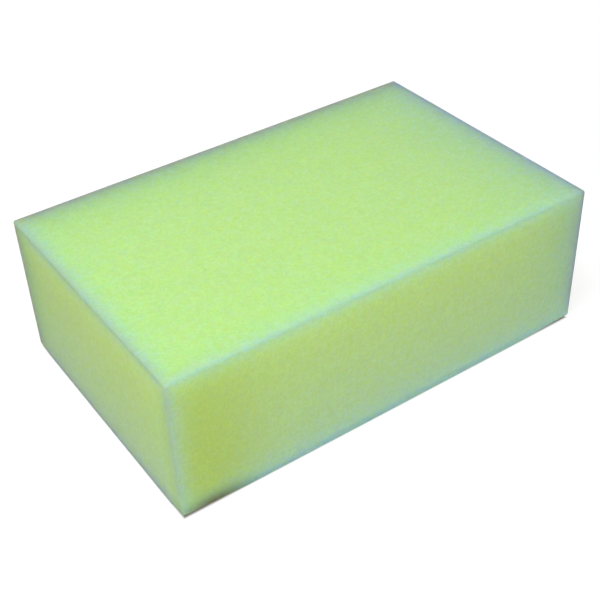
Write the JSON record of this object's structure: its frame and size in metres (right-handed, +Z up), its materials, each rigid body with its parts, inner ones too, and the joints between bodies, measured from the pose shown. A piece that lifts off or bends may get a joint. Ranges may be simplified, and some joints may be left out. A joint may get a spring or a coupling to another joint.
{
  "type": "grout sponge",
  "caption": "Rectangular block of fine-celled yellow-green foam with crisp cut edges, a hand sponge for washing grout off tiles.",
  "frame": {"origin": "centre of the underside, on the surface that the block stands on", "axes": "+Z up, square to the two large faces; +X along the block's length; +Y across its width"},
  "size_m": [0.18, 0.1146, 0.0605],
  "materials": {
    "foam": "dry open-celled polyurethane foam, fine cells, matt and slightly translucent, paler and bluer at the cut edges"
  },
  "bodies": {
    "root": {"foam_block": "foam"}
  },
  "joints": []
}
